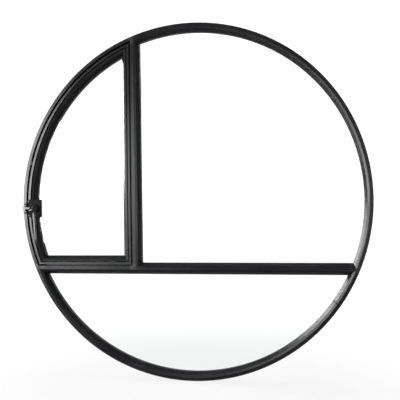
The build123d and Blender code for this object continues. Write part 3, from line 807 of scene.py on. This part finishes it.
def floor_material(colour):
    """A pale floor that fades into the backdrop, keeps the shadow and is dimmer in reflections."""
    material, tree, shader = fresh("studio_floor")
    where = place(tree)
    tone = noise(tree, where, FLOOR_TONE)
    shade = blend(tree, tone, lighter(colour, FLOOR_SHARE), colour)
    tree.links.new(shade, shader.inputs["Base Color"])
    shader.inputs["Roughness"].default_value = FLOOR_ROUGHNESS
    shader.inputs["Specular IOR Level"].default_value = FLOOR_GLOSS
    straight, mirrored_ray = ray_kinds(tree)
    away = add(tree, "VectorMath", {0: where}, operation="LENGTH").outputs["Value"]
    glow = add(tree, "Emission", {"Color": (1.0, 1.0, 1.0, 1.0)})
    strength = spread(tree, away, NEAR_GLOW, FAR_GLOW, *GLOW_REACH)
    tree.links.new(strength, glow.inputs["Strength"])
    lit = add(tree, "MixShader", {"Fac": times(tree, straight, GLOW_SHARE)})
    tree.links.new(shader.outputs["BSDF"], lit.inputs[1])
    tree.links.new(glow.outputs["Emission"], lit.inputs[2])
    depth = add(tree, "SeparateXYZ", {"Vector": where}).outputs["Y"]
    mirrored = add(tree, "Emission", {"Color": (1.0, 1.0, 1.0, 1.0)})
    level = spread(tree, depth, MIRRORED_GLOW, FAR_GLOW, *MIRRORED_REACH)
    tree.links.new(level, mirrored.inputs["Strength"])
    mixed = add(tree, "MixShader", {"Fac": mirrored_ray})
    tree.links.new(lit.outputs["Shader"], mixed.inputs[1])
    tree.links.new(mirrored.outputs["Emission"], mixed.inputs[2])
    tree.links.new(mixed.outputs["Shader"], tree.nodes["Material Output"].inputs["Surface"])
    return material


def make_world(level):
    """A dim studio, but white where it is seen, and mirrored white beyond the window."""
    world = bpy.data.worlds.new("studio")
    world.use_nodes = True
    tree = world.node_tree
    background = tree.nodes["Background"]
    straight, mirrored_ray = ray_kinds(tree)
    direction = add(tree, "TexCoord").outputs["Generated"]
    outward = add(tree, "SeparateXYZ", {"Vector": direction}).outputs["Y"]
    beyond = spread(tree, outward, 0.0, 1.0, *MIRRORED_SKY)
    share = either(tree, straight, times(tree, mirrored_ray, beyond))
    background.inputs["Color"].default_value = (1.0, 1.0, 1.0, 1.0)
    tree.links.new(spread(tree, share, level, WHITE, 0.0, 1.0), background.inputs["Strength"])
    bpy.context.scene.world = world


def soft_light(name, panel, level, mirrored=True):
    """A rectangular soft light aimed at the window, which gloss mirrors or not."""
    location, width, height = panel
    data = bpy.data.lights.new(name, "AREA")
    data.shape = "RECTANGLE"
    data.size = width
    data.size_y = height
    data.energy = level * math.pi * width * height
    lamp = bpy.data.objects.new(name, data)
    bpy.context.scene.collection.objects.link(lamp)
    lamp.location = location
    lamp.rotation_mode = "QUATERNION"
    lamp.rotation_quaternion = (-lamp.location).to_track_quat("-Z", "Y")
    lamp.visible_camera = False
    lamp.visible_glossy = mirrored


def make_floor(width, colour):
    """A floor under the ring's lowest point that curves up into a backdrop."""
    low = cad_low.z - FLOOR_GAP
    curve_start = BACKDROP_PLACE - SWEEP_RADIUS
    line = [(FLOOR_FRONT, low)]
    for step in range(SWEEP_STEPS + 1):
        turn = math.pi / 2 * step / SWEEP_STEPS
        rise = SWEEP_RADIUS * (1 - math.cos(turn))
        line.append((curve_start + SWEEP_RADIUS * math.sin(turn), low + rise))
    line.append((BACKDROP_PLACE, low + BACKDROP_HEIGHT))
    build = bmesh.new()
    rows = [[build.verts.new((side * width / 2, y, z)) for side in (-1, 1)] for y, z in line]
    for near, beyond in zip(rows, rows[1:]):
        build.faces.new((near[0], near[1], beyond[1], beyond[0])).smooth = True
    mesh = bpy.data.meshes.new("floor")
    build.to_mesh(mesh)
    build.free()
    mesh.materials.append(floor_material(colour))
    floor = bpy.data.objects.new("floor", mesh)
    bpy.context.scene.collection.objects.link(floor)


def make_camera():
    """The camera at the photograph's angle."""
    data = bpy.data.cameras.new("camera")
    data.lens = CAMERA_LENS
    camera = bpy.data.objects.new("camera", data)
    bpy.context.scene.collection.objects.link(camera)
    camera.location = CAMERA_PLACE
    aim = Vector(CAMERA_TARGET) - camera.location
    camera.rotation_mode = "QUATERNION"
    roll = Quaternion((0.0, 0.0, 1.0), math.radians(CAMERA_ROLL))
    camera.rotation_quaternion = aim.to_track_quat("-Z", "Y") @ roll
    bpy.context.scene.camera = camera


class PORTHOLE_OT_stage(bpy.types.Operator):
    """Makes the world, the floor, the soft lights and the camera"""

    bl_idname = "porthole.stage"
    bl_label = "Studio"

    def execute(self, context):
        settings = stage_settings()
        context.scene.view_settings.view_transform = "Standard"
        make_world(settings.studio_level)
        make_floor(settings.floor_width, settings.floor_colour)
        soft_light("room_panel", ROOM_PANEL, settings.room_level)
        soft_light("fill_panel", FILL_PANEL, settings.fill_level)
        soft_light("side_panel", SIDE_PANEL, settings.side_level)
        soft_light("wash_panel", WASH_PANEL, settings.wash_level, mirrored=False)
        soft_light("sky_panel", SKY_PANEL, settings.sky_level)
        soft_light("back_panel", BACK_PANEL, settings.back_level)
        make_camera()
        return {"FINISHED"}


class PORTHOLE_PT_sidebar(bpy.types.Panel):
    """The window's operators and settings"""

    bl_idname = "PORTHOLE_PT_sidebar"
    bl_label = "Porthole Window"
    bl_space_type = "VIEW_3D"
    bl_region_type = "UI"
    bl_category = "Porthole"

    def draw(self, context):
        for operator in OPERATORS:
            self.layout.operator(operator.bl_idname)
        for group in (paint_settings(), glass_settings(), stage_settings()):
            box = self.layout.box()
            for key in group.__annotations__:
                box.prop(group, key)


SETTINGS = (
    ("porthole_paint", PaintSettings),
    ("porthole_glass", GlassSettings),
    ("porthole_stage", StageSettings),
)
OPERATORS = (
    PORTHOLE_OT_frame_bars,
    PORTHOLE_OT_beads,
    PORTHOLE_OT_glazing,
    PORTHOLE_OT_hinges,
    PORTHOLE_OT_handle,
    PORTHOLE_OT_stage,
)


def register():
    """Registers the settings, the operators and the sidebar panel."""
    for name, group in SETTINGS:
        bpy.utils.register_class(group)
        setattr(bpy.types.Scene, name, bpy.props.PointerProperty(type=group))
    for operator in OPERATORS:
        bpy.utils.register_class(operator)
    bpy.utils.register_class(PORTHOLE_PT_sidebar)


def unregister():
    """Takes out what register put in."""
    bpy.utils.unregister_class(PORTHOLE_PT_sidebar)
    for operator in reversed(OPERATORS):
        bpy.utils.unregister_class(operator)
    for name, group in reversed(SETTINGS):
        delattr(bpy.types.Scene, name)
        bpy.utils.unregister_class(group)


def main():
    register()
    for operator in OPERATORS:
        module, name = operator.bl_idname.split(".")
        result = getattr(getattr(bpy.ops, module), name)()
        if result != {"FINISHED"}:
            raise RuntimeError(operator.bl_idname + " did not finish")


if __name__ == "__main__":
    main()
